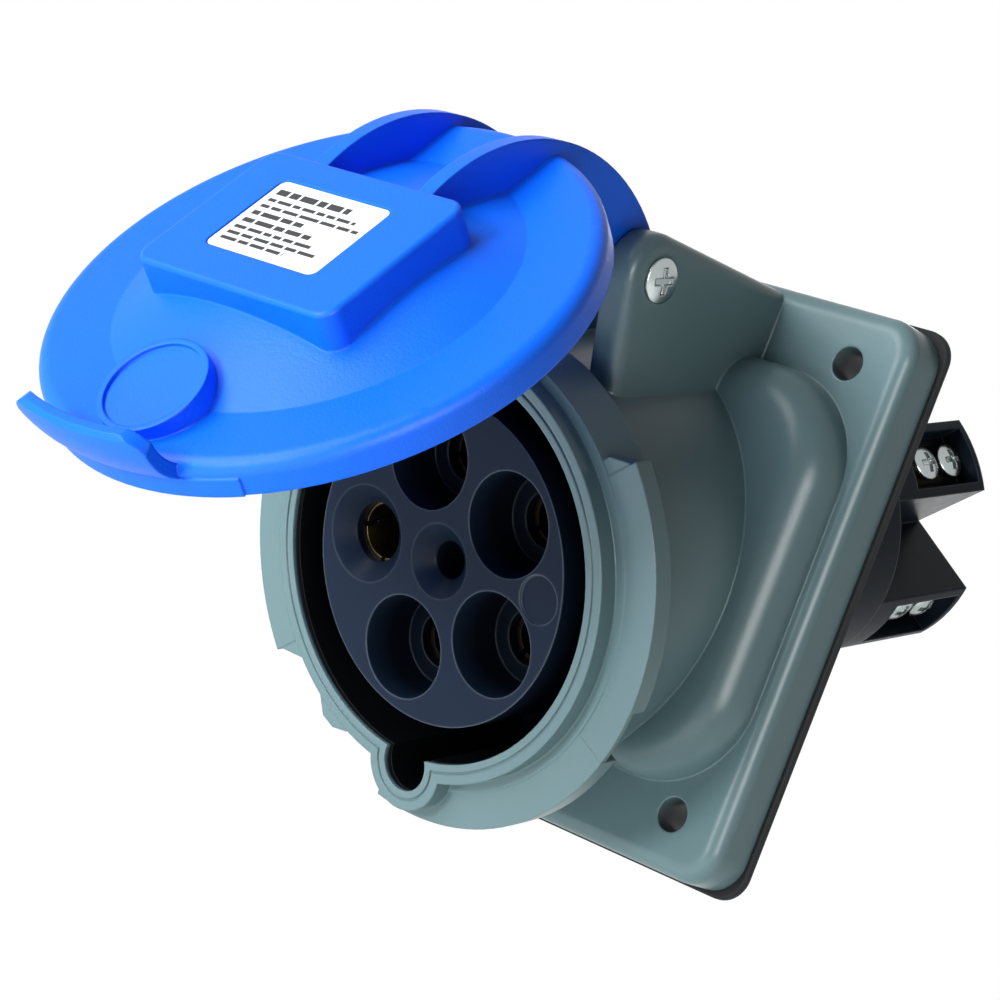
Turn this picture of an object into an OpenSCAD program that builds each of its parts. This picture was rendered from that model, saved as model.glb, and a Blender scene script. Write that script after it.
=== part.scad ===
// Pin and sleeve receptacle: an angled, panel-mounted socket with a hinged lid.
// Millimetres, +Z up. The panel is the plane y = 0 and the mouth looks along -Y, tilted down.
// The origin is the centre of the mounting holes, on the panel.

/* [Flange] */
// Width of the flange
flange_w = 101; // [99:0.5:108]
// Height of the flange
flange_h = 107.5; // [106:0.5:116]
// Depth of the flange's rim
flange_t = 10; // [9:0.5:11]
// Radius of the flange's corners in plan
flange_corner_r = 7; // [5:0.5:9]
// Radius of the flange's front edge
flange_edge_r = 3.2; // [2:0.2:4]
// Spacing of the mounting holes, across
hole_pitch_x = 77; // [75:0.5:80]
// Spacing of the mounting holes, up and down
hole_pitch_z = 86.5; // [85:0.5:90]
// Diameter of the mounting holes
hole_d = 6.4; // [5:0.2:7]
// Thickness of the rubber gasket behind the flange
gasket_t = 1.5; // [1:0.1:2.5]
// How far the gasket shows around the flange
gasket_over = 0.9; // [0.4:0.1:1.5]

/* [Shoulder] */
// Width of the rolled shoulder at the flange
shoulder_w = 94; // [92:0.5:96]
// Height of the rolled shoulder at the flange
shoulder_h = 78.6; // [76:0.2:80]
// Rise of the shoulder above the flange
shoulder_rise = 9.5; // [9:0.5:11]
// Radius of the roll
shoulder_edge_r = 8; // [6:0.5:9]
// Radius of the shoulder's corners in plan
shoulder_corner_r = 19; // [16:0.5:21]

/* [Mouth] */
// Downward tilt of the mouth
tilt = 20; // [18:0.5:22]
// Distance of the mouth's centre in front of the panel
mouth_reach = 53; // [52:0.5:56]
// Drop of the mouth's centre below the mounting centre
mouth_drop = 17; // [16:0.5:18]
// Radius of the bore that takes the plug's sleeve
bore_r = 36; // [35.5:0.1:36.4]
// Wall of the barrel and of the keyway
wall_t = 3.5; // [3.3:0.1:3.8]
// Radius of the keyway
key_r = 5.1; // [4.5:0.1:5.3]
// Distance of the keyway's centre from the bore's axis
key_drop = 37.6; // [37:0.1:37.8]
// Set-back of the locking collar behind the lip
collar_back = 3.8; // [3.6:0.1:4.5]
// Length of the collar's base ring
collar_len = 8.7; // [8:0.1:10]
// Radius of the collar's base ring
collar_r = 43; // [42.6:0.1:43.2]
// Thickness of the collar's lugs
lug_t = 4.2; // [3.5:0.1:5]
// Radius of the collar's largest lug
lug_r = 49.2; // [48.5:0.1:50]

/* [Insert] */
// Recess of the insert's face behind the lip
face_back = 1.6; // [1.4:0.1:2.4]
// Radius of the insert's island
island_r = 29.6; // [29.2:0.1:30.4]
// Depth of the space that takes the plug's sleeve
sleeve_depth = 36; // [34:0.5:36.5]
// Depth of the insert's rear end behind the lip
insert_len = 58; // [57:0.5:60]
// Radius of the circle of contacts
pitch_r = 18.5; // [18.3:0.1:18.8]
// Radius of a line contact's mouth
line_mouth_r = 9.4; // [9:0.1:9.6]
// Depth of a line contact's mouth
line_mouth_depth = 10; // [9:0.5:11]
// Radius of a line pin
line_pin_r = 4; // [3.9:0.05:4.1]
// Radius of the earth pin
earth_pin_r = 5; // [4.9:0.05:5.1]
// Radius of the pilot pin
pilot_pin_r = 2.5; // [2.3:0.05:2.7]

/* [Terminals] */
// Depth of the terminals' rear end behind the lip
carrier_len = 129.7; // [128:0.5:134]
// Depth at which the terminal towers part
tower_back = 100; // [98:0.5:102]
// Width of a terminal tower
tower_w = 15.2; // [14.9:0.1:15.8]
// Radius of the towers' outer faces about the axis
tower_r = 29; // [28.7:0.1:29.4]
// Spacing of a terminal's two screws
screw_pitch = 8; // [7.6:0.1:8.4]
// Radius of a terminal screw's head
screw_head_r = 3.5; // [3.2:0.1:3.6]

/* [Hinge] */
// Height of the hinge above the bore's axis
hinge_up = 54.5; // [54:0.1:55.5]
// Distance of the hinge behind the lip
hinge_back = 25.7; // [25.2:0.1:26.5]
// Radius of the hinge screw's shank
hinge_pin_r = 2.5; // [2:0.1:3]
// Outer face of each hinge ear from the middle
ear_x = 20.3; // [20:0.1:21.5]
// Thickness of each hinge ear
ear_t = 5.9; // [5.6:0.1:6]
// Radius of the ear's rounded end
ear_r = 8; // [7.6:0.1:8.4]

/* [Lid] */
// Angle of the lid from closed
lid_open = 58; // [40:1:80]
// Radius of the lid's rim
lid_r = 48.3; // [48.1:0.1:49]
// Set-back of the closed rim behind the lip
rim_back = 1; // [0.8:0.1:1.4]
// Height of the lid's flat annulus above the rim
lid_h = 6; // [5.6:0.1:6.6]
// Wall of the lid's skirt
lid_wall = 1.6; // [1.4:0.05:1.65]
// Radius of the lid's dome where it meets the annulus
dome_r = 35.3; // [34.5:0.1:36.5]
// Rise of the dome above the annulus
dome_rise = 7.8; // [7:0.1:8.4]
// Width of the lid's raised pad
pad_w = 46.6; // [44:0.2:48]
// Length of the lid's raised pad
pad_l = 33.8; // [32:0.2:35]
// Height of the pad's top above the rim
pad_h = 16.4; // [16:0.1:17.5]

/* [Hidden] */
$fn = 96;

// Clearances, and the length by which fused shapes and cutters run on
slip_gap = 0.2;
pin_gap = 0.05;
ear_gap = 0.4;
seal_gap = 0.3;
run_on = 1;
far = 200;

// Contact angles about the bore's axis, from +X, with the keyway at the bottom
earth_a = 180;
neutral_a = 252;
line_1_a = 324;
line_2_a = 36;
line_3_a = 108;
line_angles = [neutral_a, line_1_a, line_2_a, line_3_a];
contact_angles = concat([earth_a], line_angles);

// Lip, liner and the step that the liner's seal sits behind
lip_t = 1;
groove_w = 0.5;
groove_depth = 0.4;
groove_grow = 1.3;
liner_t = 1.4;
seal_t = 0.8;
base_t = 4;
barrel_len = 80;

// Collar's lugs and the ramps at their ends: two angles about the bore's axis, and how far they
// stay within the largest radius
lugs = [
    [-17, 36, 1.1],
    [-101, -30.4, 1.15],
    [164, 216, 0]
];
lug_set = 0.15;
lug_web_a = [-31, -16];
lug_web_in = 1.25;
lug_web_t = 1.2;
ramps = [
    [35.2, 40, 1.2],
    [215.2, 221.5, 0.1]
];
ramp_lap_a = 2;
nub_t = 1.5;
nub = [
    [41, -131],
    [43.4, -128.5],
    [45.3, -124.5],
    [45, -120.5],
    [43, -116.5],
    [41, -114]
];

// Mouths of the contacts in the insert's face
funnel_depth = 3;
earth_mouth_r = 8.9;
earth_hole_r = earth_pin_r + 0.5;
pilot_mouth_r = 6.8;
pilot_hole_r = pilot_pin_r + 1;
line_floor_r = line_mouth_r - 1.2;
line_hole_r = line_pin_r + 1;
web_t = 2;
mark_r = 4.35;
mark_at = 24.2;
mark_depth = 0.5;

// Contact sleeves, their clamp rings and their terminals
sleeve_wall = 2.1;
pilot_wall = 1.3;
ring_t = 0.7;
ring_l = 4;
ring_set = 5;
slot_w = 0.9;
slot_l = 22;
pin_depth = 34;
line_sleeve_r = line_pin_r + pin_gap + sleeve_wall;
earth_sleeve_r = earth_pin_r + pin_gap + sleeve_wall;
pilot_sleeve_r = pilot_pin_r + pin_gap + pilot_wall;
line_front = face_back + line_mouth_depth + web_t + slip_gap;
earth_front = face_back + funnel_depth + web_t + slip_gap;
pilot_front = face_back + 20;
terminal_r = 6.4;
terminal_front = insert_len + 6;
terminal_back = carrier_len - web_t - slip_gap;
wire_r = 4.4;
wire_depth = 24;
pilot_back = tower_back + 4;
pilot_well_r = 7;
tap_r = 1.6;
tap_depth = 10;

// Terminal screws, set radially
clamp_r = 2.4;
clamp_seat = pitch_r + terminal_r + 0.3;
clamp_head_h = 1.8;
clamp_tip = pitch_r + wire_r - 0.3;
rear_clamp = carrier_len - 5.2;
front_clamp = rear_clamp - screw_pitch;
window_side = 1.8;
window_l = 21;
window_end = 1.4;

// Screws that hold the insert in the housing and the carrier on the insert
fixing_head_r = 3;
fixing_head_h = 2.2;
fixing_r = 1.6;
strap_end = 4.4;
strap_rim = 4.1;
strap_x = flange_w / 2 - strap_rim - strap_end;
strap_w = 9;
strap_set = 6;
strap_front = mouth_reach - strap_set;
strap_t = 4;
fixing_len = 13;
carrier_fix_at = 24;
carrier_fix_angles = [0, 144, 216];
carrier_fix_bite = 8;

// Hinge
ear_edge_r = 2.4;
ear_inner = ear_x - ear_t;
ring_back = collar_back + collar_len;
hinge_y = -mouth_reach - hinge_up * sin(tilt) + hinge_back * cos(tilt);
hinge_z = -mouth_drop + hinge_up * cos(tilt) + hinge_back * sin(tilt);
hinge_head_r = 4.1;
hinge_head_h = 1.4;
nut_r = 4.6;
nut_t = 3.2;

// Lid: its two arms carry on the arc of the top ribs to the hinge knuckles
hinge_h = rim_back - hinge_back;
arm_t = 3.2;
arm_outer = ear_inner - ear_gap;
arm_inner = arm_outer - arm_t;
knuckle_r = 6.9;
knuckle_proud = 0.3;
arch_top = pad_h - 0.6;
arch_u = 23;
arch_a = hinge_up - arch_u;
arch_b = arch_top - hinge_h;
arch_k = knuckle_r - knuckle_proud;
arch_r = (arch_a * arch_a + arch_b * arch_b - arch_k * arch_k) / (2 * (arch_b - arch_k));
rib_from = 12;
rim_edge_r = 2.5;
roof_t = 2;
dome_ball_r = (dome_r * dome_r + dome_rise * dome_rise) / (2 * dome_rise);
dome_fn = 360;
pad_up = -0.4;
pad_corner_r = 3.5;
pad_edge_r = 0.8;
label_w = 26.2;
label_l = 19.5;
label_corner_r = 1.6;
label_x = -0.6;
label_up = 0.25;
label_depth = 0.5;
label_t = 0.35;
boss_r = 9.8;
boss_at = 36.2;
boss_h = 10.1;
boss_tilt = 11.4;
boss_sink = 0.7;
boss_rim = 1.1;
flap_r = 13.8;
flap_t = 2.5;
flap_bevel = 0.7;
flap_half_a = 17;
flap_corner_r = 6;
flap_at = lid_h + 8;
flap_h = flap_at + 0.9;
flap_root = 40;
corner_grow = 0.3;
band_half_a = 29.5;
band_h = 3.4;
band_t = 0.4;
seal_w = 4;
seal_rib_t = 1.2;
seal_rib_h = 1.8;

// Lid spring
spring_wire_r = 0.6;
coil_r = 4.4;
coil_turns = 6;
coil_pitch = 2.4;
coil_steps = 16;
wire_sides = 8;
short_leg = 6;
long_leg = -hinge_h + 3;

// Panel frame: z points out of the panel and y points up
module in_panel() {
    rotate([90, 0, 0]) children();
}

// Mouth frame: z points out of the mouth from the lip's plane, y points to the hinge
module in_mouth() {
    translate([0, -mouth_reach, -mouth_drop]) rotate([90 + tilt, 0, 0]) children();
}

// Lid frame: the mouth frame moved to the lid's rim and swung open about the hinge
module in_lid() {
    in_mouth()
        translate([0, hinge_up, -hinge_back])
            rotate([-lid_open, 0, 0])
                translate([0, -hinge_up, hinge_back - rim_back]) children();
}

// Side frame: x points back or up the lid, y points up, and z points to +X
module side_on() {
    rotate([90, 0, 90]) children();
}

// An outline run along the bore's axis between two depths behind the lip
module between(front, back) {
    translate([0, 0, -back]) linear_extrude(back - front) children();
}

// A tapered hole along the bore's axis between two depths behind the lip
module funnel(front, back, front_r, back_r) {
    translate([0, 0, -back]) cylinder(r1 = back_r, r2 = front_r, h = back - front);
}

// A place on the circle of contacts, with x pointing outwards
module at_contact(angle) {
    rotate([0, 0, angle]) translate([pitch_r, 0, 0]) children();
}

// Outline of the bore with its keyway, grown by a margin
module mouth_outline(grow) {
    circle(bore_r + grow);
    translate([0, -key_drop]) circle(key_r + grow);
}

// Section of a slab's edge: a rectangle whose outer top corner is round
module edge_section(depth, t, edge) {
    intersection() {
        union() {
            square([depth, t - edge]);
            square([depth - edge, t]);
            translate([depth - edge, t - edge]) circle(edge);
        }
        square([depth, t]);
    }
}

// Straight bar of the edge section along +y
module edge_bar(length, depth, t, edge) {
    translate([0, length, 0]) rotate([90, 0, 0]) linear_extrude(length) edge_section(depth, t, edge);
}

// Slab with round corners and a round top edge
module pillow(w, h, corner, t, edge) {
    core_w = w - 2 * corner;
    core_h = h - 2 * corner;
    translate([-core_w / 2, -core_h / 2, 0]) cube([core_w, core_h, t]);
    for (sx = [-1, 1], sy = [-1, 1])
        translate([sx * core_w / 2, sy * core_h / 2, 0]) rotate_extrude() edge_section(corner, t, edge);
    for (side = [0, 180]) {
        rotate([0, 0, side]) translate([core_w / 2, -core_h / 2, 0]) edge_bar(core_h, corner, t, edge);
        rotate([0, 0, side + 90]) translate([core_h / 2, -core_w / 2, 0]) edge_bar(core_w, corner, t, edge);
    }
}

// Sector of a ring about the axis, between two heights
module ring_sector(r_in, r_out, from_a, to_a, low, high) {
    rotate([0, 0, from_a])
        rotate_extrude(angle = to_a - from_a)
            translate([r_in, low]) square([r_out - r_in, high - low]);
}

// The four mounting holes' places, in the panel frame
module at_mounts() {
    for (sx = [-1, 1], sy = [-1, 1])
        translate([sx * hole_pitch_x / 2, sy * hole_pitch_z / 2, 0]) children();
}

// Crowned head with a cross recess, its seat at z = 0
module pan_head(r, h) {
    rim_h = h * 0.45;
    crown = h - rim_h;
    ball_r = (r * r + crown * crown) / (2 * crown);
    recess_w = r * 0.3;
    recess_l = r * 1.15;
    difference() {
        union() {
            cylinder(r = r, h = rim_h);
            intersection() {
                translate([0, 0, h - ball_r]) sphere(ball_r);
                translate([0, 0, rim_h / 2]) cylinder(r = r, h = h);
            }
        }
        for (turn = [0, 90])
            rotate([0, 0, turn])
                translate([-recess_l / 2, -recess_w / 2, rim_h]) cube([recess_l, recess_w, h]);
    }
}

// Screw with its head's seat at z = 0 and its shank along -z
module cross_screw(head_r, head_h, shank_r, length) {
    pan_head(head_r, head_h);
    translate([0, 0, -length]) cylinder(r = shank_r, h = length);
}

// Outline through points given by radius and angle about the bore's axis
module polar_outline(points) {
    polygon([for (p = points) [p[0] * cos(p[1]), p[0] * sin(p[1])]]);
}

// Locking collar of the mouth: a tapered ring with lugs of several sizes, each set a little behind it
module collar() {
    root_r = bore_r + wall_t - run_on;
    ring_taper = 1.6;
    lug_front = collar_back + lug_set;
    lug_back = collar_back + lug_t;
    translate([0, 0, -collar_back - collar_len])
        rotate([0, 0, 90]) cylinder(r1 = collar_r, r2 = collar_r - ring_taper, h = collar_len);
    for (lug = lugs)
        ring_sector(root_r, lug_r - lug[2], lug[0], lug[1], -lug_back, -lug_front);
    ring_sector(root_r, lug_r - lug_web_in, lug_web_a[0], lug_web_a[1],
                -lug_front - lug_set - lug_web_t, -lug_front - lug_set);
    for (ramp = ramps)
        between(lug_front + lug_set, lug_back - lug_set) polar_outline([
            [root_r, ramp[0] - ramp_lap_a],
            [lug_r - ramp[2], ramp[0]],
            [collar_r, ramp[1]],
            [root_r, ramp[1]]
        ]);
    between(lug_front, lug_front + nub_t) polar_outline(nub);
}

// Gusset ear that carries the hinge, on the +X side
module ear() {
    foot = hinge_up - sqrt(pow(bore_r + wall_t, 2) - ear_x * ear_x) + run_on * 1.5;
    run = -gasket_t - flange_t / 2 - hinge_y;
    lift = flange_h / 2 - run_on - hinge_z;
    reach = sqrt(run * run + lift * lift);
    top_a = atan2(lift, run) + acos(ear_r / reach);
    top_l = sqrt(reach * reach - ear_r * ear_r);
    foot_at = [foot * sin(tilt), -foot * cos(tilt)];
    back_at = [top_l * sin(top_a), -top_l * cos(top_a)];
    translate([ear_inner, hinge_y, hinge_z]) side_on() {
        rotate([0, 0, top_a])
            rotate_extrude(angle = 180 + tilt - top_a) edge_section(ear_r, ear_t, ear_edge_r);
        rotate([0, 0, 180 + tilt]) edge_bar(foot, ear_r, ear_t, ear_edge_r);
        rotate([0, 0, top_a]) mirror([0, 1, 0]) edge_bar(top_l, ear_r, ear_t, ear_edge_r);
        linear_extrude(ear_t)
            polygon([
                [0, 0],
                back_at,
                [back_at.x, foot_at.y + (back_at.x - foot_at.x) * tan(tilt)],
                foot_at
            ]);
    }
}

// Pocket that takes the insert's two straps from behind
module strap_pockets() {
    half = strap_x + strap_end + slip_gap;
    translate([-half, -strap_w / 2 - slip_gap, -far / 2])
        cube([half * 2, strap_w + slip_gap * 2, far / 2 - strap_front]);
    for (side = [-1, 1])
        translate([side * strap_x, 0, -strap_front - run_on])
            cylinder(r = fixing_r + pin_gap, h = fixing_len - strap_t + run_on * 2);
}

module housing() {
    shoulder_from = gasket_t + flange_t / 2;
    color("slategray") difference() {
        union() {
            in_panel() {
                translate([0, 0, gasket_t])
                    pillow(flange_w, flange_h, flange_corner_r, flange_t, flange_edge_r);
                translate([0, 0, shoulder_from])
                    pillow(shoulder_w, shoulder_h, shoulder_corner_r,
                           flange_t / 2 + shoulder_rise, shoulder_edge_r);
            }
            in_mouth() between(ring_back, barrel_len) mouth_outline(wall_t);
            ear();
            mirror([1, 0, 0]) ear();
        }
        in_mouth() {
            between(ring_back - run_on, barrel_len + run_on) mouth_outline(liner_t + slip_gap);
            strap_pockets();
            translate([-far / 2, hinge_up, -hinge_back]) rotate([0, 90, 0])
                cylinder(r = hinge_pin_r + pin_gap, h = far);
        }
        in_panel() at_mounts() cylinder(d = hole_d, h = gasket_t + flange_t + run_on);
        translate([-far / 2, -gasket_t, -far / 2]) cube(far);
    }
}

// Front of the barrel: the lip with its groove, and the locking collar
module mouth_ring() {
    color("slategray") in_mouth() difference() {
        union() {
            between(0, ring_back) mouth_outline(wall_t);
            collar();
        }
        between(-run_on, lip_t + run_on) mouth_outline(0);
        between(lip_t, ring_back + run_on) mouth_outline(liner_t + slip_gap);
        between(-run_on, groove_depth) difference() {
            mouth_outline(groove_grow + groove_w);
            mouth_outline(groove_grow);
        }
    }
}

module flange_gasket() {
    w = flange_w + 2 * gasket_over;
    h = flange_h + 2 * gasket_over;
    corner = flange_corner_r - 1.5;
    color("dimgray") difference() {
        in_panel() pillow(w, h, corner, gasket_t, gasket_t / 3);
        in_panel() at_mounts() translate([0, 0, -run_on]) cylinder(d = hole_d, h = gasket_t + run_on * 2);
        in_mouth() {
            between(0, barrel_len) mouth_outline(liner_t + slip_gap);
            strap_pockets();
        }
    }
}

// Liner of the bore: the black wall around the plug's sleeve
module bore_liner() {
    color("black") in_mouth() between(lip_t + seal_t, sleeve_depth) difference() {
        mouth_outline(liner_t);
        mouth_outline(0);
    }
}

module liner_seal() {
    color("dimgray") in_mouth() between(lip_t, lip_t + seal_t) difference() {
        mouth_outline(liner_t);
        mouth_outline(slip_gap);
    }
}

// Holes of one contact in the insert: its mouth, its web and the pocket behind
module contact_hole(mouth_r, floor_r, depth, hole_r, pocket_from, pocket_r) {
    floor_at = face_back + depth;
    funnel(face_back, floor_at, mouth_r, floor_r);
    between(face_back - run_on, face_back) circle(mouth_r);
    between(floor_at, pocket_from + run_on) circle(hole_r);
    between(pocket_from, insert_len + run_on) circle(pocket_r);
}

// Bores of the five sleeves and of the pilot
module contact_holes() {
    for (angle = line_angles)
        at_contact(angle)
            contact_hole(line_mouth_r, line_floor_r, line_mouth_depth, line_hole_r,
                         line_front - slip_gap, line_sleeve_r + ring_t + slip_gap);
    at_contact(earth_a)
        contact_hole(earth_mouth_r, earth_hole_r, funnel_depth, earth_hole_r,
                     earth_front - slip_gap, earth_sleeve_r + ring_t + slip_gap);
    contact_hole(pilot_mouth_r, pilot_hole_r, funnel_depth, pilot_hole_r,
                 pilot_front - slip_gap, pilot_sleeve_r + slip_gap);
}

module contact_insert() {
    color("darkslategray") in_mouth() difference() {
        between(face_back, sleeve_depth) circle(island_r);
        contact_holes();
        translate([mark_at, 0, 0]) between(face_back - run_on, face_back + mark_depth) circle(mark_r);
    }
}

// Base behind the island: it closes the sleeve's space and carries the two straps
module insert_base() {
    strap_half = strap_x + strap_end;
    color("darkslategray") in_mouth() difference() {
        union() {
            between(sleeve_depth, insert_len) circle(island_r);
            between(sleeve_depth, sleeve_depth + base_t) mouth_outline(liner_t);
            between(strap_front, strap_front + strap_t)
                square([strap_half * 2, strap_w], center = true);
        }
        contact_holes();
        for (angle = carrier_fix_angles)
            rotate([0, 0, angle]) translate([carrier_fix_at, 0, 0])
                between(insert_len - carrier_fix_bite - run_on, insert_len + run_on)
                    circle(fixing_r + pin_gap);
        for (side = [-1, 1])
            translate([side * strap_x, 0, 0])
                between(strap_front - run_on, strap_front + strap_t + run_on) circle(fixing_r + slip_gap);
    }
}

module insert_screws() {
    color("silver") in_mouth() for (side = [-1, 1])
        translate([side * strap_x, 0, -strap_front - strap_t]) rotate([180, 0, 0])
            cross_screw(fixing_head_r, fixing_head_h, fixing_r, fixing_len);
}

// Rear block with a tower for each terminal
module terminal_carrier() {
    window_w = tower_w - 2 * window_side;
    window_back = carrier_len - window_end;
    window_from = clamp_tip + run_on;
    color("darkslategray") in_mouth() difference() {
        union() {
            between(insert_len, tower_back) circle(island_r - slip_gap);
            for (angle = contact_angles)
                rotate([0, 0, angle]) between(tower_back - run_on, carrier_len) intersection() {
                    translate([0, -tower_w / 2]) square([far, tower_w]);
                    circle(tower_r);
                }
        }
        for (angle = contact_angles)
            at_contact(angle) {
                sleeve_r = angle == earth_a ? earth_sleeve_r : line_sleeve_r;
                between(insert_len - run_on, terminal_front + slip_gap) circle(sleeve_r + slip_gap);
                between(terminal_front, terminal_back + slip_gap) circle(terminal_r + slip_gap);
                between(terminal_back, carrier_len + run_on) circle(wire_r + slip_gap * 2);
            }
        for (angle = contact_angles)
            rotate([0, 0, angle])
                translate([window_from, -window_w / 2, -window_back]) cube([tower_r, window_w, window_l]);
        between(insert_len - run_on, pilot_back + run_on) circle(pilot_sleeve_r + slip_gap);
        between(pilot_back, carrier_len + run_on) circle(pilot_well_r);
        for (angle = carrier_fix_angles)
            rotate([0, 0, angle]) translate([carrier_fix_at, 0, 0])
                between(insert_len - run_on, tower_back + run_on) circle(fixing_r + slip_gap);
    }
}

module carrier_screws() {
    color("silver") in_mouth() for (angle = carrier_fix_angles)
        rotate([0, 0, angle]) translate([carrier_fix_at, 0, -tower_back]) rotate([180, 0, 0])
            cross_screw(fixing_head_r, fixing_head_h, fixing_r, tower_back - insert_len + carrier_fix_bite);
}

// Slotted contact sleeve with a terminal bored for its wire
module contact(angle, pin_r, sleeve_r, front) {
    color("goldenrod") in_mouth() at_contact(angle) difference() {
        union() {
            between(front, terminal_front) circle(sleeve_r);
            between(terminal_front, terminal_back) circle(terminal_r);
        }
        between(front - run_on, front + pin_depth) circle(pin_r + pin_gap);
        between(front - run_on, front + slot_l) {
            square([slot_w, far], center = true);
            square([far, slot_w], center = true);
        }
        between(terminal_back - wire_depth, terminal_back + run_on) circle(wire_r);
        for (at = [front_clamp, rear_clamp])
            translate([0, 0, -at]) rotate([0, 90, 0]) cylinder(r = clamp_r + pin_gap, h = far);
    }
}

module earth_contact() {
    contact(earth_a, earth_pin_r, earth_sleeve_r, earth_front);
}

module neutral_contact() {
    contact(neutral_a, line_pin_r, line_sleeve_r, line_front);
}

module line_1_contact() {
    contact(line_1_a, line_pin_r, line_sleeve_r, line_front);
}

module line_2_contact() {
    contact(line_2_a, line_pin_r, line_sleeve_r, line_front);
}

module line_3_contact() {
    contact(line_3_a, line_pin_r, line_sleeve_r, line_front);
}

module pilot_contact() {
    color("goldenrod") in_mouth() difference() {
        between(pilot_front, pilot_back) circle(pilot_sleeve_r);
        between(pilot_front - run_on, pilot_front + slot_l) circle(pilot_pin_r + pin_gap);
        between(pilot_back - tap_depth, pilot_back + run_on) circle(tap_r + pin_gap);
    }
}

// Spring clip around the slotted end of a sleeve
module clamp_ring(sleeve_r, front) {
    between(front + ring_set, front + ring_set + ring_l) difference() {
        circle(sleeve_r + ring_t);
        circle(sleeve_r + pin_gap);
    }
}

module contact_springs() {
    color("lightsteelblue") in_mouth() {
        for (angle = line_angles)
            at_contact(angle) clamp_ring(line_sleeve_r, line_front);
        at_contact(earth_a) clamp_ring(earth_sleeve_r, earth_front);
    }
}

// The two radial screws that clamp one terminal's wire
module clamp_screws(angle) {
    color("silver") in_mouth() rotate([0, 0, angle]) for (at = [front_clamp, rear_clamp])
        translate([clamp_seat, 0, -at]) rotate([0, 90, 0])
            cross_screw(screw_head_r, clamp_head_h, clamp_r, clamp_seat - clamp_tip);
}

module earth_screws() {
    clamp_screws(earth_a);
}

module neutral_screws() {
    clamp_screws(neutral_a);
}

module line_1_screws() {
    clamp_screws(line_1_a);
}

module line_2_screws() {
    clamp_screws(line_2_a);
}

module line_3_screws() {
    clamp_screws(line_3_a);
}

module pilot_screw() {
    color("silver") in_mouth() translate([0, 0, -pilot_back]) rotate([180, 0, 0])
        cross_screw(screw_head_r, clamp_head_h, tap_r, tap_depth - run_on);
}

// Half section of the lid's outside
module lid_section() {
    edge_section(lid_r, lid_h, rim_edge_r);
    intersection() {
        translate([0, lid_h + dome_rise - dome_ball_r]) circle(dome_ball_r, $fn = dome_fn);
        translate([0, lid_h - roof_t / 2]) square([lid_r - rim_edge_r, dome_rise + roof_t]);
    }
}

// Half section of the lid's inside
module lid_hollow_section() {
    translate([0, -run_on]) square([lid_r - lid_wall, lid_h - roof_t + run_on]);
    intersection() {
        translate([0, lid_h + dome_rise - dome_ball_r]) circle(dome_ball_r - roof_t, $fn = dome_fn);
        square([dome_r - roof_t, pad_h]);
    }
}

// Thumb flap at the front of the lid: a scooped visor with round corners
module thumb_flap() {
    tip_r = flap_root + flap_r;
    scoop_tip_r = tip_r - flap_t;
    tip_x = tip_r * sin(flap_half_a);
    corner_x = tip_x - flap_corner_r;
    corner_h = flap_h - flap_corner_r;
    intersection() {
        rotate([0, 0, -90 - flap_half_a]) rotate_extrude(angle = 2 * flap_half_a) intersection() {
            translate([flap_root, flap_at]) difference() {
                circle(flap_r);
                circle(flap_r - flap_t);
            }
            polygon([
                [flap_root, band_h],
                [tip_r + run_on, band_h],
                [tip_r + run_on, flap_h - flap_bevel * 2],
                [tip_r, flap_h - flap_bevel],
                [tip_r - flap_bevel, flap_h],
                [scoop_tip_r + flap_bevel / 2, flap_h],
                [scoop_tip_r - flap_bevel, flap_h - flap_bevel],
                [flap_root, flap_h - flap_bevel]
            ]);
        }
        rotate([90, 0, 0]) linear_extrude(far) {
            translate([-corner_x, 0]) square([corner_x * 2, flap_h + run_on]);
            translate([-tip_x - run_on, 0]) square([(tip_x + run_on) * 2, corner_h]);
            for (side = [-1, 1])
                translate([side * corner_x, corner_h]) circle(flap_corner_r + corner_grow);
        }
    }
}

// Centre of the boss's top, which leans towards the thumb flap
module on_boss() {
    translate([0, -boss_at, boss_h]) rotate([boss_tilt, 0, 0]) children();
}

// Rectangle with round corners, about its centre
module round_rect(w, l, r) {
    square([w - r * 2, l], center = true);
    square([w, l - r * 2], center = true);
    for (sx = [-1, 1], sy = [-1, 1])
        translate([sx * (w / 2 - r), sy * (l / 2 - r)]) circle(r);
}

// Floor of the label's recess in the pad
module on_label() {
    translate([label_x, label_up, pad_h - label_depth]) children();
}

// Everything that stands on the lid, before the lid is hollowed
module lid_outside() {
    rib_low = lid_h - roof_t / 2;
    rotate_extrude() lid_section();
    translate([0, pad_up, lid_h + roof_t])
        pillow(pad_w, pad_l, pad_corner_r, pad_h - lid_h - roof_t, pad_edge_r);
    on_boss() translate([0, 0, rib_low - boss_h]) cylinder(r = boss_r, h = boss_h - rib_low);
    ring_sector(lid_r - run_on, lid_r + band_t, -90 - band_half_a, -90 + band_half_a, 0, band_h);
    thumb_flap();
    for (x = [arm_inner, -arm_outer])
        translate([x, 0, 0]) side_on() linear_extrude(arm_t) intersection() {
            translate([arch_u, arch_top - arch_r]) circle(arch_r, $fn = dome_fn);
            translate([rib_from, rib_low]) square(far);
        }
}

// The two arms below the ribs, down to the hinge knuckles
module lid_arms() {
    arm_from = sqrt(pow(lid_r - lid_wall / 2, 2) - arm_outer * arm_outer);
    for (x = [arm_inner, -arm_outer])
        translate([x, 0, 0]) side_on() linear_extrude(arm_t) {
            intersection() {
                translate([arch_u, arch_top - arch_r]) circle(arch_r, $fn = dome_fn);
                translate([arm_from, hinge_h]) square([far, lid_h - roof_t / 2 - hinge_h]);
            }
            translate([hinge_up, hinge_h]) circle(knuckle_r);
        }
}

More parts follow.
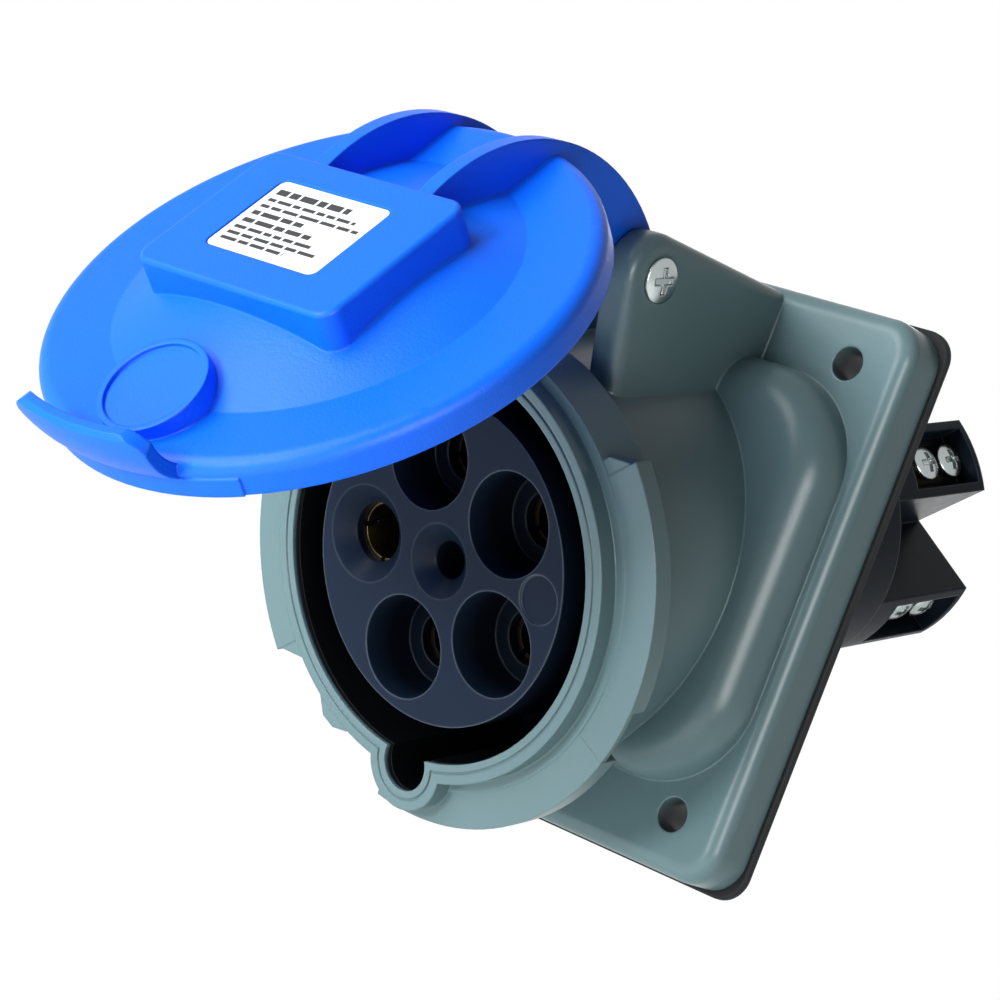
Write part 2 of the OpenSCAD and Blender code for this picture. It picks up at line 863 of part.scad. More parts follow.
module lid() {
    rib_r = bore_r + wall_t / 2 + seal_w / 2 + seal_gap;
    roof_low = lid_h - roof_t;
    color("royalblue") in_lid() difference() {
        union() {
            difference() {
                lid_outside();
                rotate_extrude() lid_hollow_section();
            }
            lid_arms();
            translate([0, 0, roof_low - seal_rib_h]) difference() {
                cylinder(r = rib_r + seal_rib_t, h = seal_rib_h + roof_t / 2);
                translate([0, 0, -run_on]) cylinder(r = rib_r, h = far);
            }
        }
        on_label() linear_extrude(label_depth + run_on) round_rect(label_w, label_l, label_corner_r);
        on_boss() translate([0, 0, -boss_sink]) cylinder(r = boss_r - boss_rim, h = boss_sink + run_on);
        translate([-far / 2, hinge_up, hinge_h]) rotate([0, 90, 0])
            cylinder(r = hinge_pin_r + pin_gap, h = far);
    }
}

module lid_seal() {
    mid_r = bore_r + wall_t / 2;
    low = rim_back + seal_gap;
    color("dimgray") in_lid() rotate_extrude()
        translate([mid_r - seal_w / 2, low]) square([seal_w, lid_h - roof_t - low]);
}

module lid_label() {
    color("white") in_lid() on_label() linear_extrude(label_t)
        round_rect(label_w - slip_gap * 2, label_l - slip_gap * 2, label_corner_r - slip_gap);
}

// Torsion spring about the hinge: a swept wire whose long leg lies behind the lid's skirt
module lid_spring() {
    count = coil_turns * coil_steps;
    half = coil_turns * coil_pitch / 2;
    skirt_u = sqrt(lid_r * lid_r - half * half) + spring_wire_r + pin_gap - hinge_up;
    path = concat(
        [[-half, -coil_r, -short_leg]],
        [for (i = [0 : count])
            [-half + i * coil_pitch / coil_steps,
             -coil_r * cos(i * 360 / coil_steps),
             coil_r * sin(i * 360 / coil_steps)]],
        [[half, skirt_u, long_leg]]
    );
    color("gray") in_lid() translate([0, hinge_up, hinge_h]) swept_wire(path, spring_wire_r, wire_sides);
}

// Wire of round section along a path that turns about x
module swept_wire(path, r, sides) {
    last = len(path) - 1;
    rings = [for (i = [0 : last])
        let (way = path[min(i + 1, last)] - path[max(i - 1, 0)])
        let (ahead = way / norm(way))
        let (across = cross(ahead, [1, 0, 0]))
        let (side = across / norm(across))
        let (over = cross(side, ahead))
        for (k = [0 : sides - 1])
            path[i] + r * (side * cos(k * 360 / sides) + over * sin(k * 360 / sides))];
    walls = [for (i = [0 : last - 1], k = [0 : sides - 1])
        let (here = i * sides, there = here + sides, next = (k + 1) % sides)
        [here + k, here + next, there + next, there + k]];
    ends = [
        [for (k = [0 : sides - 1]) sides - 1 - k],
        [for (k = [0 : sides - 1]) last * sides + k]
    ];
    polyhedron(points = rings, faces = concat(walls, ends), convexity = 10);
}

module hinge_screw() {
    shank_l = 2 * ear_x + nut_t;
    color("silver") in_mouth() translate([ear_x, hinge_up, -hinge_back]) rotate([0, 90, 0])
        cross_screw(hinge_head_r, hinge_head_h, hinge_pin_r, shank_l);
}

module hinge_nut() {
    color("silver") in_mouth() translate([-ear_x - nut_t, hinge_up, -hinge_back]) rotate([0, 90, 0])
        difference() {
            cylinder(r = nut_r, h = nut_t, $fn = 6);
            translate([0, 0, -run_on]) cylinder(r = hinge_pin_r + pin_gap, h = nut_t + run_on * 2);
        }
}

housing();
mouth_ring();
flange_gasket();
bore_liner();
liner_seal();
contact_insert();
insert_base();
insert_screws();
terminal_carrier();
carrier_screws();
earth_contact();
neutral_contact();
line_1_contact();
line_2_contact();
line_3_contact();
pilot_contact();
contact_springs();
earth_screws();
neutral_screws();
line_1_screws();
line_2_screws();
line_3_screws();
pilot_screw();
lid();
lid_seal();
lid_label();
lid_spring();
hinge_screw();
hinge_nut();
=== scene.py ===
"""Studio dressing for an angled pin and sleeve receptacle with a hinged lid."""

from __future__ import annotations

import logging
import math
import random
from dataclasses import dataclass, field
from enum import Enum
from typing import Any, Iterable

import bmesh
import bpy
from mathutils import Matrix, Vector


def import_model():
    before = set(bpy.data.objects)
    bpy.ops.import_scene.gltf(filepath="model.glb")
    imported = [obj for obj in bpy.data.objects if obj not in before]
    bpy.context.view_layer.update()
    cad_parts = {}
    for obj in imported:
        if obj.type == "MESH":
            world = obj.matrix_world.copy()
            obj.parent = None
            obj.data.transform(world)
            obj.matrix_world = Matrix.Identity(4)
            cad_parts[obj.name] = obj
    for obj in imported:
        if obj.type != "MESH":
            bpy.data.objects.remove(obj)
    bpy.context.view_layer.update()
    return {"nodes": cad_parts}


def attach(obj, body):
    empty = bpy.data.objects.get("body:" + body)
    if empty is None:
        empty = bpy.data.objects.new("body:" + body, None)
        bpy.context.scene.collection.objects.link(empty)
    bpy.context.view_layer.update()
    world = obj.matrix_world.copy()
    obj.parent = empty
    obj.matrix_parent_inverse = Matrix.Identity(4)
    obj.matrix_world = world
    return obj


LOG = logging.getLogger("receptacle")
MM = 0.001
MOUTH_TILT = math.radians(20.0)
MOUTH_REACH_MM = 53.0
MOUTH_DROP_MM = 17.0
Colour = tuple[float, float, float]


class Body(Enum):
    """Rigid bodies that an added piece can ride on."""

    LID = "lid"


class Slot(Enum):
    """Material slots of the record that an added piece can take."""

    LABEL = "white_label"


class Signal:
    """A node socket that takes part in Python arithmetic."""

    def __init__(self, recipe: "Recipe", socket: Any) -> None:
        """Args: recipe: the tree the socket is in. socket: an output socket."""
        self.recipe = recipe
        self.socket = socket

    def _math(self, operation: str, first: Any, second: Any, clamp: bool = False) -> "Signal":
        """Adds one Math node.

        Args:
            operation: the Math node's operation.
            first: a signal or number for the first value.
            second: a signal or number for the second value.
            clamp: whether the result is held between 0 and 1.
        Returns:
            The Math node's output.
        """
        settings = {"operation": operation, "use_clamp": clamp}
        return self.recipe.node("ShaderNodeMath", settings, {0: first, 1: second})

    def __add__(self, other: Any) -> "Signal":
        """Returns self + other."""
        return self._math("ADD", self, other)

    def __radd__(self, other: Any) -> "Signal":
        """Returns other + self."""
        return self._math("ADD", other, self)

    def __sub__(self, other: Any) -> "Signal":
        """Returns self - other."""
        return self._math("SUBTRACT", self, other)

    def __rsub__(self, other: Any) -> "Signal":
        """Returns other - self."""
        return self._math("SUBTRACT", other, self)

    def __mul__(self, other: Any) -> "Signal":
        """Returns self * other."""
        return self._math("MULTIPLY", self, other)

    def __rmul__(self, other: Any) -> "Signal":
        """Returns other * self."""
        return self._math("MULTIPLY", other, self)

    def __pow__(self, other: Any) -> "Signal":
        """Returns self ** other."""
        return self._math("POWER", self, other)

    def held(self) -> "Signal":
        """Returns the value held between 0 and 1."""
        return self._math("ADD", self, 0.0, clamp=True)


class Recipe:
    """Node tree of one material or of the world."""

    EDGE_SAMPLES = 8
    EDGE_GAIN = 4.0

    def __init__(self, tree: bpy.types.NodeTree) -> None:
        """Args: tree: the node tree, which is emptied first."""
        self.tree = tree
        self.tree.nodes.clear()

    def node(
        self,
        kind: str,
        settings: dict[str, Any] | None = None,
        sockets: dict[Any, Any] | None = None,
        out: int | str = 0,
    ) -> Signal:
        """Makes a node, sets it, and fills its sockets.

        Args:
            kind: the node's type name.
            settings: attributes of the node, set first.
            sockets: values or signals by input name or number.
            out: the output that is returned.
        Returns:
            The chosen output as a signal.
        """
        made = self.tree.nodes.new(kind)
        for key, value in (settings or {}).items():
            setattr(made, key, value)
        for key, value in (sockets or {}).items():
            if isinstance(value, Signal):
                self.tree.links.new(value.socket, made.inputs[key])
            else:
                made.inputs[key].default_value = value
        has_outputs = len(made.outputs) > 0
        return Signal(self, made.outputs[out] if has_outputs else None)

    def vector(self, operation: str, first: Any, second: Any = None, out: str = "Vector") -> Signal:
        """Adds one Vector Math node.

        Args:
            operation: the Vector Math node's operation.
            first: a signal or vector for the first value.
            second: a signal or vector for the second value, where the operation has one.
            out: the output that is returned.
        Returns:
            The chosen output as a signal.
        """
        sockets = {0: first} if second is None else {0: first, 1: second}
        return self.node("ShaderNodeVectorMath", {"operation": operation}, sockets, out)

    def place(self) -> Signal:
        """Returns the point in the piece's own coordinates."""
        return self.node("ShaderNodeTexCoord", out="Object")

    def noise(self, cell_mm: float, detail: float = 2.0, rough: float = 0.5) -> Signal:
        """Noise over the piece's own coordinates.

        Args:
            cell_mm: size of a blotch.
            detail: octaves.
            rough: strength of the finer octaves.
        Returns:
            Values around 0.5.
        """
        return self.node(
            "ShaderNodeTexNoise",
            None,
            {"Vector": self.place(), "Scale": 1.0 / (cell_mm * MM), "Detail": detail, "Roughness": rough},
        )

    def blend(self, factor: Any, first: Any, second: Any) -> Signal:
        """Mixes two colours.

        Args:
            factor: share of the second colour.
            first: colour or signal.
            second: colour or signal.
        Returns:
            The mixed colour.
        """
        full = [(*c, 1.0) if isinstance(c, tuple) else c for c in (first, second)]
        return self.node(
            "ShaderNodeMix", {"data_type": "RGBA"}, {0: factor, 6: full[0], 7: full[1]}, out=2
        )

    def softened(self, edge_mm: float) -> Signal:
        """Returns the surface normal with edges rounded to a radius."""
        return self.node("ShaderNodeBevel", {"samples": self.EDGE_SAMPLES}, {"Radius": edge_mm * MM})

    def rounded(self, edge_mm: float, height: Signal, depth_mm: float) -> Signal:
        """Surface normal with softened edges and a fine relief.

        Args:
            edge_mm: radius of the softened edges.
            height: relief, from 0 to 1.
            depth_mm: depth of the relief.
        Returns:
            The normal.
        """
        soft = self.softened(edge_mm)
        return self.node(
            "ShaderNodeBump",
            None,
            {"Strength": 1.0, "Distance": depth_mm * MM, "Height": height, "Normal": soft},
        )

    def edges(self, edge_mm: float) -> Signal:
        """Mask of the outer and inner edges.

        Args:
            edge_mm: how far the mask reaches from an edge.
        Returns:
            0 on flat faces, up to 1 at the edges.
        """
        flat = self.node("ShaderNodeNewGeometry", out="Normal")
        same = self.vector("DOT_PRODUCT", self.softened(edge_mm), flat, out="Value")
        return ((1.0 - same) * self.EDGE_GAIN).held()

    def surface(self, sockets: dict[str, Any]) -> None:
        """Adds the Principled shader and the output.

        Args:
            sockets: the shader's inputs.
        """
        shader = self.node("ShaderNodeBsdfPrincipled", None, sockets)
        self.node("ShaderNodeOutputMaterial", None, {"Surface": shader})


def new_recipe(name: str) -> tuple[bpy.types.Material, Recipe]:
    """Starts a material.

    Args:
        name: the material's name.
    Returns:
        The material and its emptied node tree.
    """
    made = bpy.data.materials.new(name)
    made.use_nodes = True
    return made, Recipe(made.node_tree)


def shade(colour: Colour, factor: float) -> Colour:
    """Returns a colour times a number."""
    return (colour[0] * factor, colour[1] * factor, colour[2] * factor)


@dataclass(frozen=True)
class MouldedPlastic:
    """Satin moulded plastic with a spark-eroded grain, softened edges and a painted highlight along the
    edges.
    """

    name: str
    colour: Colour
    roughness: float
    specular: float
    grain_mm: float = 0.35
    grain_depth_mm: float = 0.012
    cloud_mm: float = 22.0
    speck_mm: float = 1.4
    speck_share: float = 0.6
    edge_mm: float = 0.5
    edge_highlight_gain: float = 1.3
    blotch: float = 0.06
    scuff: float = 0.15
    edge_highlight_colour: Colour | None = None

    def build(self) -> bpy.types.Material:
        """Returns the finished material."""
        made, recipe = new_recipe(self.name)
        grain = recipe.noise(self.grain_mm, detail=3.0, rough=0.6)
        cloud = recipe.noise(self.cloud_mm, detail=3.0, rough=0.55)
        speck = recipe.noise(self.speck_mm)
        dark, light = (shade(self.colour, 1.0 + change) for change in (-self.blotch, self.blotch))
        # Edges take a lighter colour: a painted highlight along the softened edges.
        edge = self.edge_highlight_colour or shade(self.colour, self.edge_highlight_gain)
        painted_edge_tone = recipe.blend(recipe.edges(self.edge_mm), recipe.blend(cloud, dark, light), edge)
        worn = (cloud - 0.5) + (speck - 0.5) * self.speck_share
        rough = self.roughness + worn * self.scuff
        recipe.surface(
            {
                "Base Color": self.paint_hollow_shade(recipe, painted_edge_tone),
                "Roughness": rough.held(),
                "Specular IOR Level": self.specular,
                "Normal": recipe.rounded(self.edge_mm, grain, self.grain_depth_mm),
            }
        )
        return made

    def paint_hollow_shade(self, recipe: Recipe, tone: Signal) -> Signal:
        """Returns the tone as it is; a deep moulding paints shade into its hollows here."""
        return tone


@dataclass(frozen=True)
class DrilledPlastic(MouldedPlastic):
    """Moulded plastic with painted shade inside its four mounting holes."""

    pitch_mm: tuple[float, float] = (77.0, 86.5)
    hole_r_mm: float = 3.2
    rim_mm: float = 0.15
    rim_gain: float = 2.0
    face_mm: float = 11.5
    painted_shade_run_mm: float = 4.0
    painted_shade_share: float = 0.9
    painted_shade_tone: float = 0.08

    def paint_hollow_shade(self, recipe: Recipe, tone: Signal) -> Signal:
        """Paints shade inside the mounting holes, darker with the depth.

        Args:
            recipe: the material's tree.
            tone: the colour of an open face.
        Returns:
            The colour with painted shade in the holes.
        """
        across, rise = (pitch / 2 * MM for pitch in self.pitch_mm)
        place = recipe.place()
        off = recipe.vector("SUBTRACT", recipe.vector("ABSOLUTE", place), (across, 0.0, rise))
        away = recipe.vector("LENGTH", recipe.vector("MULTIPLY", off, (1.0, 0.0, 1.0)), out="Value")
        rim = (self.hole_r_mm + self.rim_mm) * MM
        # Painted shade: the hole walls darken towards the back of the flange.
        inside = ((rim - away) * (self.rim_gain / (self.rim_mm * MM))).held()
        forward = recipe.node("ShaderNodeSeparateXYZ", None, {0: place}, out="Y")
        depth = ((forward + self.face_mm * MM) * (1.0 / (self.painted_shade_run_mm * MM))).held()
        return recipe.blend(inside * depth * self.painted_shade_share, tone, shade(self.colour, self.painted_shade_tone))


@dataclass(frozen=True)
class DeepPlastic(MouldedPlastic):
    """Moulded plastic with painted shade in its holes behind the mouth's plane."""

    painted_shade_from_mm: float = 2.2
    painted_shade_run_mm: float = 5.0
    painted_shade_share: float = 0.8
    painted_shade_tone: float = 0.05

    def paint_hollow_shade(self, recipe: Recipe, tone: Signal) -> Signal:
        """Paints shade that darkens with the depth behind the mouth.

        Args:
            recipe: the material's tree.
            tone: the colour at the front face.
        Returns:
            The colour with painted shade in the holes.
        """
        axis = (0.0, math.cos(MOUTH_TILT), math.sin(MOUTH_TILT))
        along = recipe.vector("DOT_PRODUCT", recipe.place(), axis, out="Value")
        front_mm = self.painted_shade_from_mm - MOUTH_REACH_MM * axis[1] - MOUTH_DROP_MM * axis[2]
        # Painted shade: the hole walls darken further behind the mouth.
        share = ((along - front_mm * MM) * (1.0 / (self.painted_shade_run_mm * MM))).held()
        return recipe.blend(share * self.painted_shade_share, tone, shade(self.colour, self.painted_shade_tone))


@dataclass(frozen=True)
class Metal:
    """Plated or turned metal with fine tool marks and painted shade along its edges."""

    name: str
    colour: Colour
    roughness: float
    mark_mm: float = 0.25
    mark_depth_mm: float = 0.006
    cloud_mm: float = 4.0
    edge_mm: float = 0.15
    painted_edge_shade: float = 0.6
    tarnish: float = 0.12
    polish: float = 0.06
    rough_change: float = 0.2

    def build(self) -> bpy.types.Material:
        """Returns the finished material."""
        made, recipe = new_recipe(self.name)
        marks = recipe.noise(self.mark_mm)
        cloud = recipe.noise(self.cloud_mm, detail=3.0, rough=0.6)
        dark, light = (shade(self.colour, 1.0 + change) for change in (-self.tarnish, self.polish))
        # Edges take a darker colour: painted shade along the edges and in recesses.
        edge = shade(self.colour, self.painted_edge_shade)
        painted_edge_tone = recipe.blend(recipe.edges(self.edge_mm), recipe.blend(cloud, dark, light), edge)
        rough = self.roughness + (cloud - 0.5) * self.rough_change
        recipe.surface(
            {
                "Base Color": painted_edge_tone,
                "Metallic": 1.0,
                "Roughness": rough.held(),
                "Normal": recipe.rounded(self.edge_mm, marks, self.mark_depth_mm),
            }
        )
        return made


@dataclass(frozen=True)
class PrintedFilm:
    """White label film."""

    name: str
    colour: Colour
    roughness: float
    fibre_mm: float = 0.6
    fibre_depth_mm: float = 0.004
    fibre_shade: float = 0.97
    edge_mm: float = 0.1
    rough_change: float = 0.1

    def build(self) -> bpy.types.Material:
        """Returns the finished material."""
        made, recipe = new_recipe(self.name)
        fibre = recipe.noise(self.fibre_mm, detail=3.0, rough=0.6)
        tone = recipe.blend(fibre, shade(self.colour, self.fibre_shade), self.colour)
        recipe.surface(
            {
                "Base Color": tone,
                "Roughness": self.roughness + (fibre - 0.5) * self.rough_change,
                "Normal": recipe.rounded(self.edge_mm, fibre, self.fibre_depth_mm),
            }
        )
        return made


Finish = MouldedPlastic | Metal | PrintedFilm


@dataclass
class Finishes:
    """Every finish of the receptacle, built once."""

    # The grey takes painted shade in its mounting holes and a painted highlight on its edges.
    grey: DrilledPlastic = DrilledPlastic(
        "housing_grey", (0.112, 0.186, 0.2), 0.3, 0.22, grain_depth_mm=0.02, edge_mm=0.6, scuff=0.05
    )
    # The insert takes painted shade in its holes and a painted highlight on its rims.
    insert: DeepPlastic = DeepPlastic(
        "insert_black",
        (0.008, 0.0155, 0.032),
        0.36,
        0.06,
        edge_mm=0.7,
        scuff=0.3,
        edge_highlight_colour=(0.085, 0.115, 0.145),
    )
    # The carrier takes a painted highlight on its edges.
    black: MouldedPlastic = MouldedPlastic(
        "carrier_black", (0.005, 0.009, 0.015), 0.38, 0.05, edge_mm=0.6, edge_highlight_colour=(0.04, 0.055, 0.07)
    )
    liner: MouldedPlastic = MouldedPlastic("liner_black", (0.0015, 0.002, 0.003), 0.5, 0.08)
    rubber: MouldedPlastic = MouldedPlastic("gasket_rubber", (0.008, 0.009, 0.011), 0.7, 0.2)
    blue: MouldedPlastic = MouldedPlastic(
        "lid_blue", (0.001, 0.138, 0.93), 0.4, 0.22, grain_mm=0.45, grain_depth_mm=0.07, edge_mm=0.6
    )
    label: PrintedFilm = PrintedFilm("label_film", (0.85, 0.88, 0.9), 0.4)
    ink: MouldedPlastic = MouldedPlastic("label_ink", (0.03, 0.03, 0.035), 0.5, 0.3, edge_mm=0.05)
    # Brass kept dark: painted shade of the earth's deep pin hole, with its glint left.
    brass: Metal = Metal("contact_brass", (0.2, 0.155, 0.085), 0.3)
    # Nearly black brass: painted shade on the contacts deep in their holes and behind the terminal
    # windows.
    painted_shade_brass: Metal = Metal("brass_painted_shade", (0.022, 0.019, 0.014), 0.45)
    # The screws' edges and cross recesses take painted shade.
    zinc: Metal = Metal(
        "screw_zinc", (0.38, 0.42, 0.42), 0.24, mark_depth_mm=0.02, edge_mm=0.45, painted_edge_shade=0.2
    )
    spring: Metal = Metal("spring_wire", (0.42, 0.42, 0.44), 0.35)
    made: dict[str, bpy.types.Material] = field(default_factory=dict)

    def get(self, finish: Finish) -> bpy.types.Material:
        """Returns the finish's material, built at its first use."""
        if finish.name not in self.made:
            self.made[finish.name] = finish.build()
        return self.made[finish.name]


def dress(piece: bpy.types.Object, material: bpy.types.Material) -> None:
    """Puts one material on a piece.

    Args:
        piece: the object.
        material: its finish.
    """
    piece.data.materials.clear()
    piece.data.materials.append(material)
    LOG.info("dressed %s with %s", piece.name, material.name)


@dataclass
class MouthFrame:
    """Frames of the tilted mouth and of the swung lid, in metres."""

    hinge_up: float = 54.5 * MM
    hinge_back: float = 25.7 * MM
    rim_back: float = 1.0 * MM
    lid_open: float = math.radians(58.0)

    def mouth(self) -> Matrix:
        """Returns the frame of the lip's plane: z out of the mouth, y to the hinge."""
        turn = Matrix.Rotation(math.radians(90.0) + MOUTH_TILT, 4, "X")
        return Matrix.Translation((0.0, -MOUTH_REACH_MM * MM, -MOUTH_DROP_MM * MM)) @ turn

    def lid(self) -> Matrix:
        """Returns the frame of the lid's rim at rest: z out of the dome, y to the hinge."""
        to_hinge = Matrix.Translation((0.0, self.hinge_up, -self.hinge_back))
        swing = Matrix.Rotation(-self.lid_open, 4, "X")
        back = Matrix.Translation((0.0, -self.hinge_up, self.hinge_back - self.rim_back))
        return self.mouth() @ to_hinge @ swing @ back


def mesh_piece(
    name: str, build: bmesh.types.BMesh, place: Matrix, body: Body
) -> bpy.types.Object:
    """Turns a bmesh into a piece of the object.

    Args:
        name: the piece's name.
        build: the mesh, in its own frame and in metres; it is freed.
        place: the frame it is built in.
        body: the body it rides on.
    Returns:
        The new object.
    """
    build.transform(place)
    data = bpy.data.meshes.new(name)
    build.to_mesh(data)
    build.free()
    piece = bpy.data.objects.new(name, data)
    bpy.context.scene.collection.objects.link(piece)
    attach(piece, body.value)
    return piece


@dataclass
class PhotoCamera:
    """Camera of the photograph, fitted to the object's outlines."""

    azimuth: float = 40.228
    elevation: float = -1.623
    roll: float = 21.363
    target: tuple[float, float, float] = (-1.67 * MM, -40.0 * MM, -2.095 * MM)
    distance: float = 540.163 * MM
    lens: float = 108.0
    sensor: float = 36.0
    near: float = 10.0 * MM

    def build(self) -> bpy.types.Object:
        """Returns the camera, set as the scene's."""
        az, el, ro = (math.radians(v) for v in (self.azimuth, self.elevation, self.roll))
        back = Vector((math.sin(az) * math.cos(el), -math.cos(az) * math.cos(el), math.sin(el)))
        level = Vector((math.cos(az), math.sin(az), 0.0))
        rise = back.cross(level)
        right = level * math.cos(ro) + rise * math.sin(ro)
        up = rise * math.cos(ro) - level * math.sin(ro)
        place = Vector(self.target) + back * self.distance
        data = bpy.data.cameras.new("photo_camera")
        data.lens = self.lens
        data.sensor_width = self.sensor
        data.clip_start = self.near
        camera = bpy.data.objects.new("photo_camera", data)
        rows = [(right[i], up[i], back[i], place[i]) for i in range(3)]
        camera.matrix_world = Matrix((*rows, (0.0, 0.0, 0.0, 1.0)))
        bpy.context.scene.collection.objects.link(camera)
        bpy.context.scene.camera = camera
        return camera


@dataclass(frozen=True)
class SoftBox:
    """One area lamp, aimed at the object from a direction."""

    name: str
    toward: tuple[float, float, float]
    distance: float
    size: float
    watts: float
    shine_only: bool = False
    aim: tuple[float, float, float] = (0.0, -30.0 * MM, 0.0)

    def build(self) -> bpy.types.Object:
        """Returns the lamp; one that is shine_only makes highlights and lights nothing else."""
        data = bpy.data.lights.new(self.name, "AREA")
        data.shape = "DISK"
        data.size = self.size
        data.energy = self.watts
        lamp = bpy.data.objects.new(self.name, data)
        way = Vector(self.toward).normalized()
        lamp.location = Vector(self.aim) + way * self.distance
        lamp.rotation_euler = way.to_track_quat("Z", "Y").to_euler()
        lamp.visible_camera = False
        lamp.visible_diffuse = not self.shine_only
        bpy.context.scene.collection.objects.link(lamp)
        return lamp


@dataclass
class Studio:
    """Pale floor, white surroundings and soft lamps."""

    ambient: float = 0.04
    floor_z: float = -0.62
    floor_size: float = 3.0
    floor_cells: int = 8
    floor_tones: tuple[Colour, Colour] = ((0.8, 0.8, 0.8), (0.84, 0.84, 0.84))
    fibre_mm: float = 3.0
    floor_white: float = 0.8
    floor_fade: float = 0.55
    fade_power: float = 2.0
    boxes: tuple[SoftBox, ...] = (
        SoftBox("key_lamp", (-0.353, -0.836, 0.42), 1.2, 0.9, 15.2),
        SoftBox("front_lamp", (-0.05, -1.0, 0.02), 1.2, 0.3, 8.6),
        SoftBox("stripe_lamp", (0.84, -0.53, 0.03), 1.0, 0.42, 9.0, shine_only=True),
        SoftBox("front_card", (0.4, -0.7, -0.55), 0.35, 0.4, 0.45),
        SoftBox("side_card", (0.87, 0.23, -0.44), 0.35, 0.4, 0.32),
        SoftBox("left_card", (-0.3, -0.7, -0.6), 0.35, 0.4, 0.42),
        SoftBox("low_card", (0.406, -0.725, -0.557), 0.93, 0.6, 1.2),
        SoftBox("rear_lamp", (-0.5, 0.85, 0.1), 1.2, 0.6, 5.0),
    )

    @staticmethod
    def _white_share(recipe: Recipe) -> Signal:
        """Returns 1 for camera, glossy and transmission rays, which meet plain white."""
        rays = ("Is Camera Ray", "Is Glossy Ray", "Is Transmission Ray")
        eye, mirror, glass = (recipe.node("ShaderNodeLightPath", out=ray) for ray in rays)
        return (eye + mirror + glass).held()

    def build(self) -> None:
        """Makes the world, the floor and the lamps."""
        scene = bpy.context.scene
        scene.view_settings.view_transform = "Standard"
        world = bpy.data.worlds.new("studio")
        scene.world = world
        world.use_nodes = True
        sky = Recipe(world.node_tree)
        lit, white = (
            sky.node("ShaderNodeBackground", None, {"Color": (1.0, 1.0, 1.0, 1.0), "Strength": strength})
            for strength in (self.ambient, 1.0)
        )
        shown = sky.node("ShaderNodeMixShader", None, {0: self._white_share(sky), 1: lit, 2: white})
        sky.node("ShaderNodeOutputWorld", None, {"Surface": shown})
        self._floor()
        for box in self.boxes:
            box.build()

    def _floor(self) -> None:
        """Lays a wide pale floor well below the object; it shows nearly white and keeps a shadow."""
        build = bmesh.new()
        cells = self.floor_cells
        bmesh.ops.create_grid(build, x_segments=cells, y_segments=cells, size=self.floor_size / 2)
        data = bpy.data.meshes.new("studio_floor")
        build.to_mesh(data)
        build.free()
        floor = bpy.data.objects.new("studio_floor", data)
        floor.location = (0.0, 0.0, self.floor_z)
        bpy.context.scene.collection.objects.link(floor)
        made, recipe = new_recipe("floor_paper")
        fibre = recipe.noise(self.fibre_mm, detail=3.0, rough=0.6)
        tone = recipe.blend(fibre, *self.floor_tones)
        paper = recipe.node("ShaderNodeBsdfDiffuse", None, {"Color": tone})
        white = recipe.node("ShaderNodeEmission", None, {"Strength": 1.0})
        far = recipe.vector("LENGTH", recipe.place(), out="Value")
        fade = (far * (1.0 / self.floor_fade)) ** self.fade_power
        shown = self._white_share(recipe) * (self.floor_white + (1.0 - self.floor_white) * fade).held()
        mixed = recipe.node("ShaderNodeMixShader", None, {0: shown, 1: paper, 2: white})
        recipe.node("ShaderNodeOutputMaterial", None, {"Surface": mixed})
        dress(floor, made)


@dataclass
class Assembly:
    """Group of the object's nodes that is dressed together."""

    finishes: Finishes
    nodes: dict[str, bpy.types.Object]

    def finish(self, finish: Finish, *names: str) -> None:
        """Dresses nodes with one finish.

        Args:
            finish: the finish.
            names: the nodes' names.
        """
        for name in names:
            dress(self.nodes[name], self.finishes.get(finish))


@dataclass
class Housing(Assembly):
    """Grey housing with its gasket, liner and seals."""

    def build(self) -> None:
        """Dresses the moulded and rubber nodes."""
        self.finish(self.finishes.grey, "housing", "mouth_ring")
        self.finish(self.finishes.rubber, "flange_gasket", "liner_seal")
        self.finish(self.finishes.liner, "bore_liner")


@dataclass
class Contacts(Assembly):
    """Insert, terminal block, contacts and screws."""

    bright_pole: str = "earth"
    painted_shade_poles: tuple[str, ...] = ("neutral", "line_1", "line_2", "line_3")

    def build(self) -> None:
        """Dresses the black, brass and plated nodes."""
        self.finish(self.finishes.insert, "contact_insert", "insert_base")
        self.finish(self.finishes.black, "terminal_carrier")
        self.finish(self.finishes.brass, f"{self.bright_pole}_contact")
        # These contacts take the nearly black brass as painted shade.
        self.finish(self.finishes.painted_shade_brass, *(f"{pole}_contact" for pole in self.painted_shade_poles), "pilot_contact")
        self.finish(self.finishes.spring, "contact_springs")
        paired = (f"{pole}_screws" for pole in (self.bright_pole, *self.painted_shade_poles))
        self.finish(self.finishes.zinc, *paired, "pilot_screw", "insert_screws", "carrier_screws")


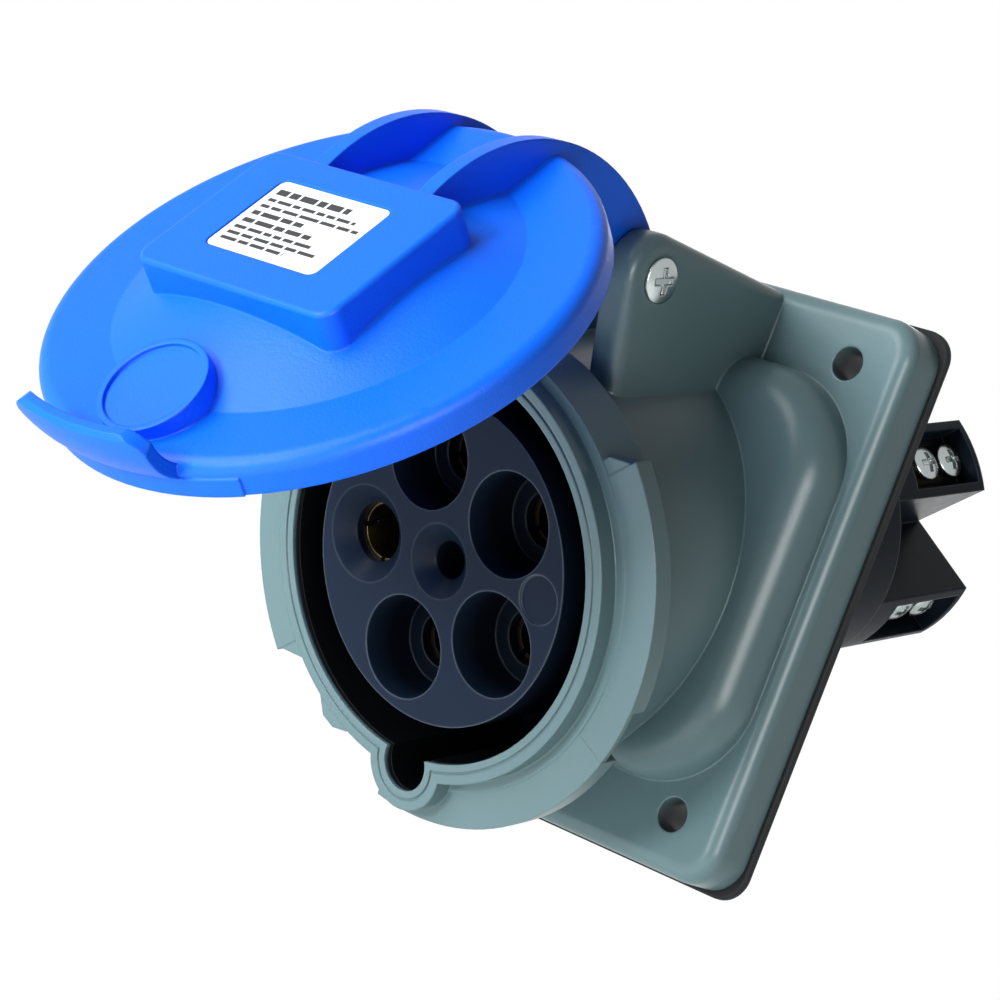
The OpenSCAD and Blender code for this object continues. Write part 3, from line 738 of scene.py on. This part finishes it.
@dataclass
class Label:
    """Plain printed bars on the lid's label."""

    finishes: Finishes
    frame: MouthFrame
    height: float = 16.26 * MM
    across: float = -0.6 * MM
    middle: float = 0.25 * MM
    width: float = 23.0 * MM
    seed: int = 7
    bar_mm: tuple[float, float] = (1.6, 4.6)
    gap: float = 0.55 * MM
    rows: tuple[tuple[float, float, float], ...] = (
        (6.6, 1.5, 0.75),
        (4.3, 0.8, 0.9),
        (2.5, 0.8, 1.0),
        (0.5, 1.1, 0.55),
        (-1.7, 1.1, 0.7),
        (-3.7, 0.8, 0.8),
        (-5.4, 0.8, 0.9),
        (-7.0, 0.8, 0.65),
    )

    def build(self) -> bpy.types.Object:
        """Returns the bars as one thin piece."""
        dice = random.Random(self.seed)
        build = bmesh.new()
        for up, tall, share in self.rows:
            at = self.across - self.width / 2
            end = at + self.width * share
            while at < end:
                run = min(dice.uniform(*self.bar_mm) * MM, end - at)
                low, high = (self.middle + (up + half) * MM for half in (-tall / 2, tall / 2))
                corners = ((at, low), (at + run, low), (at + run, high), (at, high))
                build.faces.new([build.verts.new((x, u, self.height)) for x, u in corners])
                at += run + self.gap
        piece = mesh_piece("label_print", build, self.frame.lid(), Body.LID)
        dress(piece, self.finishes.get(self.finishes.ink))
        return piece


@dataclass
class Lid(Assembly):
    """Blue lid with its seal, label and spring."""

    frame: MouthFrame

    def build(self) -> None:
        """Dresses the lid's nodes and adds the printed bars."""
        self.finish(self.finishes.blue, "lid")
        self.finish(self.finishes.rubber, "lid_seal")
        self.finish(self.finishes.label, "lid_label")
        self.finish(self.finishes.spring, "lid_spring")
        Label(self.finishes, self.frame).build()


@dataclass
class Hinge(Assembly):
    """Hinge screw and nut."""

    def build(self) -> None:
        """Dresses the hinge's hardware."""
        self.finish(self.finishes.zinc, "hinge_screw", "hinge_nut")


def main() -> None:
    """Builds the scene in order."""
    logging.basicConfig(level=logging.INFO, format="%(name)s: %(message)s")
    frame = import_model()
    nodes = frame["nodes"]
    finishes = Finishes()
    mouth = MouthFrame()
    PhotoCamera().build()
    Studio().build()
    Housing(finishes, nodes).build()
    Contacts(finishes, nodes).build()
    Lid(finishes, nodes, mouth).build()
    Hinge(finishes, nodes).build()


if __name__ == "__main__":
    main()
